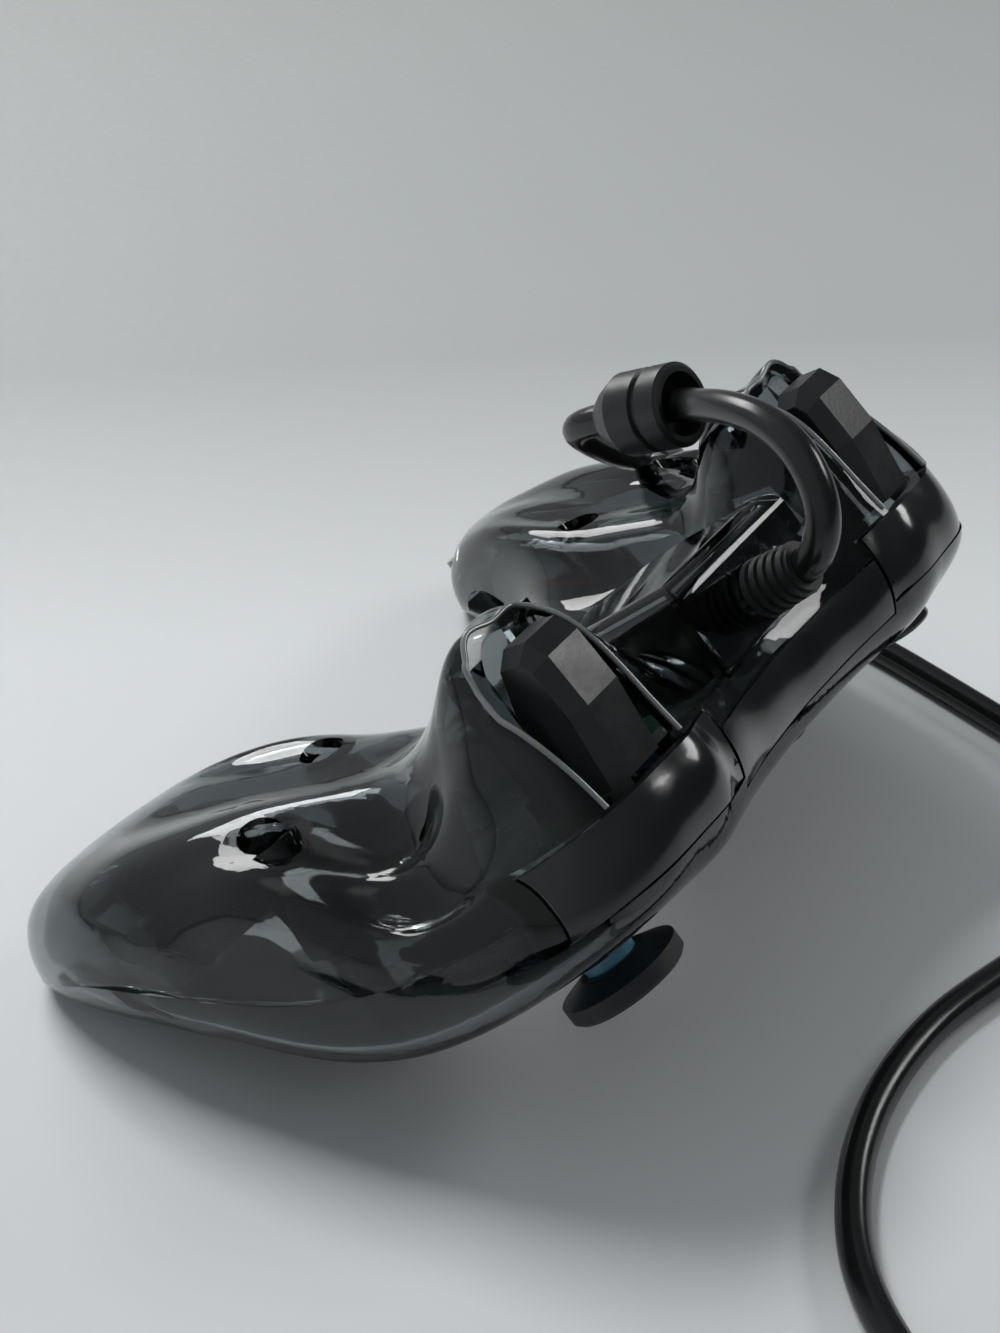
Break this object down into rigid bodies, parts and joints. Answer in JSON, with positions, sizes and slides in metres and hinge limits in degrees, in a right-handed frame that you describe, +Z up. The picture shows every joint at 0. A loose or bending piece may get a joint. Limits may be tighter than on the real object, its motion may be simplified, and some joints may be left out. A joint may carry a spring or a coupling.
{
  "type": "gamepad",
  "caption": "Wired gamepad with clear smoked shells, two sticks, triggers, bumpers, buttons and a long cord, lying on its face.",
  "frame": {"origin": "middle of the pad's bounding box on the table it lies on, without the cord", "axes": "+X towards the player's right-hand grip, +Z up from the table; the face points down and the trigger side is raised"},
  "size_m": [0.2573, 0.1938, 0.0902],
  "materials": {
    "smoke_shell": "clear smoked",
    "black_gloss": "gloss",
    "black_matte": "matte",
    "blue_plastic": "satin",
    "steel": "satin",
    "cord_rubber": "satin",
    "pad_rubber": "matte",
    "grey_plastic": "satin",
    "board_green": "satin",
    "light_clear": "gloss",
    "wire_red": "satin"
  },
  "bodies": {
    "shells": {"front_shell": "smoke_shell", "back_shell": "smoke_shell", "front_panel": "smoke_shell", "bumper_pins": "steel", "trigger_pins": "steel", "left_trigger_spring": "steel", "right_trigger_spring": "steel", "trigger_sensors": "black_matte", "left_stick_module": "black_matte", "right_stick_module": "black_matte", "abxy_pad": "pad_rubber", "centre_pad": "pad_rubber", "dpad_pad": "pad_rubber", "main_board": "board_green", "main_chip": "black_matte", "capacitors": "steel", "status_lights": "light_clear", "bumper_switches": "black_matte", "shell_screws": "steel", "left_motor": "steel", "right_motor": "steel", "left_motor_cradle": "black_matte", "right_motor_cradle": "black_matte", "motor_wires": "wire_red", "left_liner": "black_matte", "right_liner": "black_matte", "cord_gland": "cord_rubber", "cord_clamp": "black_matte", "cord_bead": "cord_rubber", "cord_arch": "cord_rubber", "cord_run": "cord_rubber", "cord_coil": "cord_rubber", "cord_tail": "cord_rubber", "cord_tie": "black_matte", "plug_body": "cord_rubber", "plug_shell": "steel", "plug_tongue": "black_matte"},
    "left_bumper": {"left_bumper": "black_gloss"},
    "left_trigger": {"left_trigger": "black_gloss"},
    "left_stick_yoke": {"left_stick_yoke": "steel"},
    "left_stick_post": {"left_stick_post": "steel"},
    "left_stick_cap": {"left_stick_dome": "blue_plastic", "left_stick_cap": "black_matte"},
    "left_motor_weight": {"left_motor_weight": "steel"},
    "right_bumper": {"right_bumper": "black_gloss"},
    "right_trigger": {"right_trigger": "black_gloss"},
    "right_stick_yoke": {"right_stick_yoke": "steel"},
    "right_stick_post": {"right_stick_post": "steel"},
    "right_stick_cap": {"right_stick_dome": "blue_plastic", "right_stick_cap": "black_matte"},
    "right_motor_weight": {"right_motor_weight": "steel"},
    "button_a": {"button_a": "grey_plastic"},
    "button_b": {"button_b": "grey_plastic"},
    "button_x": {"button_x": "grey_plastic"},
    "button_y": {"button_y": "grey_plastic"},
    "button_back": {"button_back": "grey_plastic"},
    "button_start": {"button_start": "grey_plastic"},
    "button_guide": {"button_guide": "grey_plastic"},
    "dpad_plate": {"dpad_plate": "black_matte"},
    "dpad": {"dpad": "grey_plastic"}
  },
  "joints": [
    {"name": "left_bumper_press", "type": "hinge", "parent": "shells", "child": "left_bumper", "pos_m": [-0.0284, -0.04632, 0.05442], "axis": [0, -0.6756, -0.7373], "range_deg": [0, 2], "stiffness_Nm_per_rad": 0.4},
    {"name": "left_trigger_pull", "type": "hinge", "parent": "shells", "child": "left_trigger", "pos_m": [-0.0405, -0.03548, 0.05737], "axis": [-1, 0, 0], "range_deg": [0, 10], "stiffness_Nm_per_rad": 0.15},
    {"name": "left_stick_fore_aft", "type": "hinge", "parent": "shells", "child": "left_stick_yoke", "pos_m": [-0.043, -0.03071, 0.0374], "axis": [1, 0, 0], "range_deg": [-15, 15], "stiffness_Nm_per_rad": 0.15},
    {"name": "left_stick_sideways", "type": "hinge", "parent": "left_stick_yoke", "child": "left_stick_post", "pos_m": [-0.043, -0.03071, 0.0374], "axis": [0, -0.7373, 0.6756], "range_deg": [-15, 15], "stiffness_Nm_per_rad": 0.15},
    {"name": "left_stick_click", "type": "slide", "parent": "left_stick_post", "child": "left_stick_cap", "axis": [0, 0.6756, 0.7373], "range_m": [0, 0.0004], "stiffness_N_per_m": 8000},
    {"name": "left_motor_spin", "type": "hinge", "parent": "shells", "child": "left_motor_weight", "pos_m": [-0.068, 0.0278, 0.01837], "axis": [1, 0, 0], "continuous": true},
    {"name": "right_bumper_press", "type": "hinge", "parent": "shells", "child": "right_bumper", "pos_m": [0.0284, -0.04632, 0.05442], "axis": [0, 0.6756, 0.7373], "range_deg": [0, 2], "stiffness_Nm_per_rad": 0.4},
    {"name": "right_trigger_pull", "type": "hinge", "parent": "shells", "child": "right_trigger", "pos_m": [0.0405, -0.03548, 0.05737], "axis": [-1, 0, 0], "range_deg": [0, 10], "stiffness_Nm_per_rad": 0.15},
    {"name": "right_stick_fore_aft", "type": "hinge", "parent": "shells", "child": "right_stick_yoke", "pos_m": [0.021, -0.01265, 0.02085], "axis": [1, 0, 0], "range_deg": [-15, 15], "stiffness_Nm_per_rad": 0.15},
    {"name": "right_stick_sideways", "type": "hinge", "parent": "right_stick_yoke", "child": "right_stick_post", "pos_m": [0.021, -0.01265, 0.02085], "axis": [0, -0.7373, 0.6756], "range_deg": [-15, 15], "stiffness_Nm_per_rad": 0.15},
    {"name": "right_stick_click", "type": "slide", "parent": "right_stick_post", "child": "right_stick_cap", "axis": [0, 0.6756, 0.7373], "range_m": [0, 0.0004], "stiffness_N_per_m": 8000},
    {"name": "right_motor_spin", "type": "hinge", "parent": "shells", "child": "right_motor_weight", "pos_m": [0.068, 0.0278, 0.01837], "axis": [1, 0, 0], "continuous": true},
    {"name": "button_a_press", "type": "slide", "parent": "shells", "child": "button_a", "axis": [0, 0.6756, 0.7373], "range_m": [0, 0.0015], "stiffness_N_per_m": 400},
    {"name": "button_b_press", "type": "slide", "parent": "shells", "child": "button_b", "axis": [0, 0.6756, 0.7373], "range_m": [0, 0.0015], "stiffness_N_per_m": 400},
    {"name": "button_x_press", "type": "slide", "parent": "shells", "child": "button_x", "axis": [0, 0.6756, 0.7373], "range_m": [0, 0.0015], "stiffness_N_per_m": 400},
    {"name": "button_y_press", "type": "slide", "parent": "shells", "child": "button_y", "axis": [0, 0.6756, 0.7373], "range_m": [0, 0.0015], "stiffness_N_per_m": 400},
    {"name": "button_back_press", "type": "slide", "parent": "shells", "child": "button_back", "axis": [0, 0.6756, 0.7373], "range_m": [0, 0.001], "stiffness_N_per_m": 400},
    {"name": "button_start_press", "type": "slide", "parent": "shells", "child": "button_start", "axis": [0, 0.6756, 0.7373], "range_m": [0, 0.001], "stiffness_N_per_m": 400},
    {"name": "button_guide_press", "type": "slide", "parent": "shells", "child": "button_guide", "axis": [0, 0.6756, 0.7373], "range_m": [0, 0.001], "stiffness_N_per_m": 400},
    {"name": "dpad_fore_aft", "type": "hinge", "parent": "shells", "child": "dpad_plate", "pos_m": [-0.021, -0.01639, 0.01973], "axis": [1, 0, 0], "range_deg": [-4, 4], "stiffness_Nm_per_rad": 0.1},
    {"name": "dpad_sideways", "type": "hinge", "parent": "dpad_plate", "child": "dpad", "pos_m": [-0.021, -0.01639, 0.01973], "axis": [0, -0.7373, 0.6756], "range_deg": [-4, 4], "stiffness_Nm_per_rad": 0.1}
  ]
}
